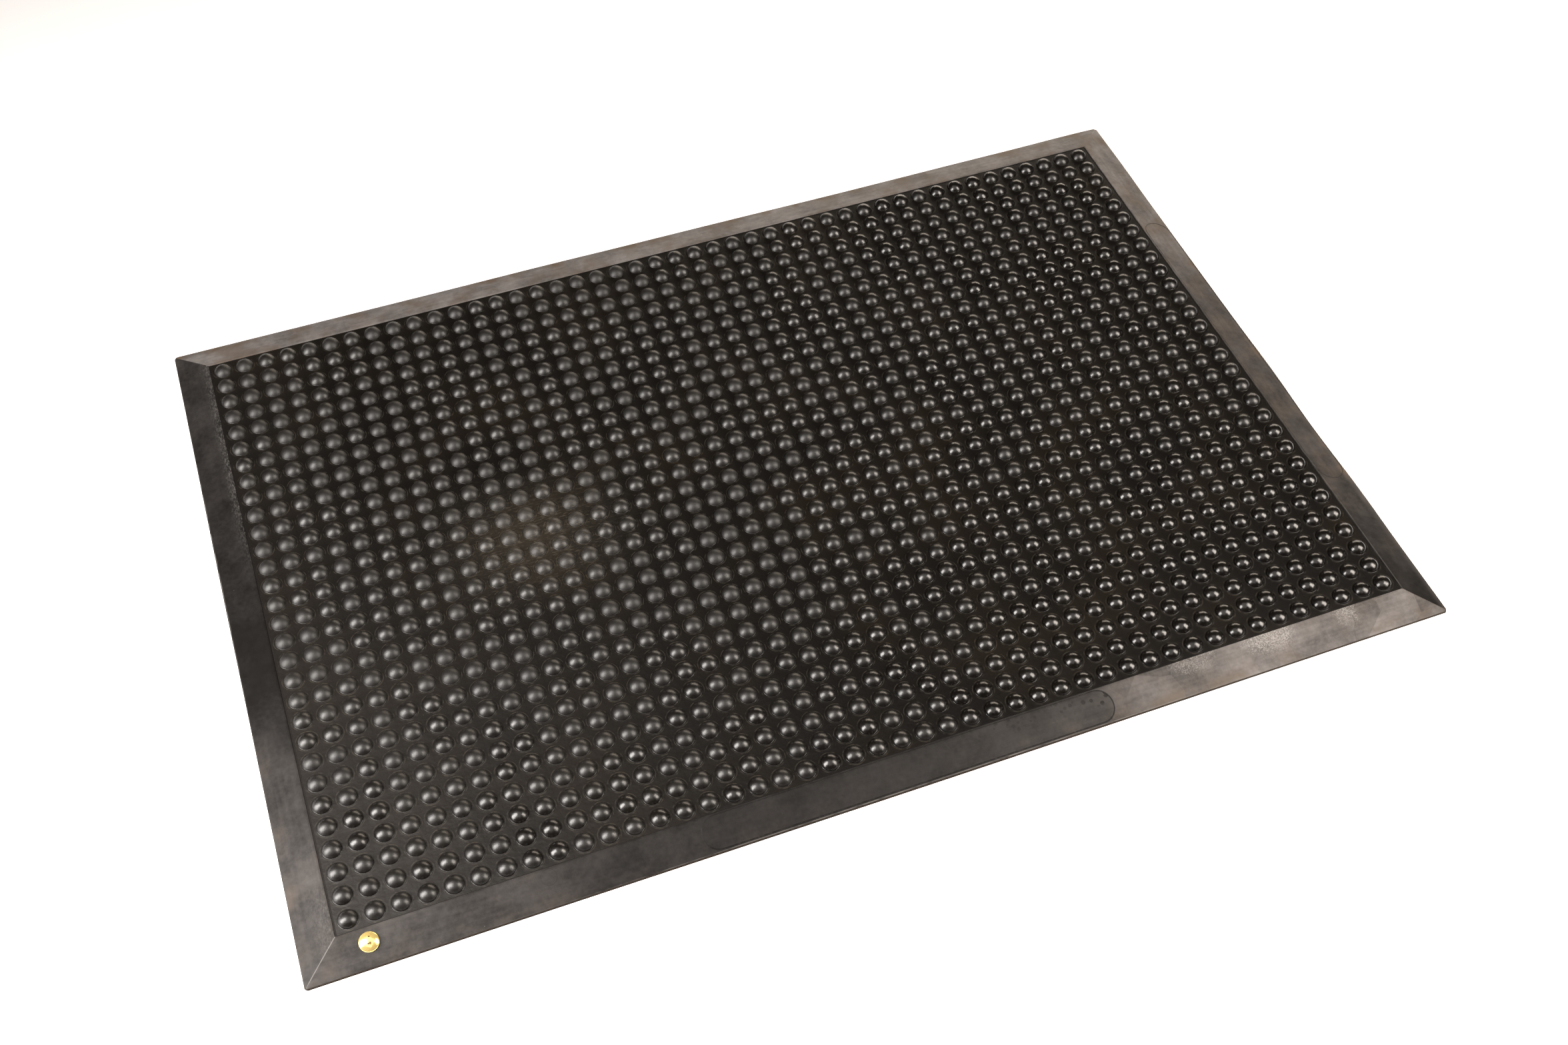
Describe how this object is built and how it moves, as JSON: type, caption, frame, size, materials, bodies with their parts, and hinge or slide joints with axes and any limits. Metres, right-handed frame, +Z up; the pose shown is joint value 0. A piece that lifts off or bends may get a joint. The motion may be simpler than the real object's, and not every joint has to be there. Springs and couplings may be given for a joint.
{
  "type": "anti-static floor mat",
  "caption": "Flat black rubber standing mat with a field of round domes, a bevelled border and a brass earthing stud at one corner",
  "frame": {"origin": "middle of the flat underside, which is the bottom centre of the bounding box", "axes": "+X along the long side, +Y along the short side away from the edge with the stud, +Z up through the domes"},
  "size_m": [0.95, 0.65, 0.0145],
  "materials": {
    "mat": "moulded black rubber, satin on the domes and dull on the border, with pale scuffs",
    "stud_cap": "polished yellow brass",
    "stud_socket": "plain brass"
  },
  "bodies": {
    "root": {"mat": "mat", "stud_cap": "stud_cap", "stud_socket": "stud_socket"}
  },
  "joints": []
}
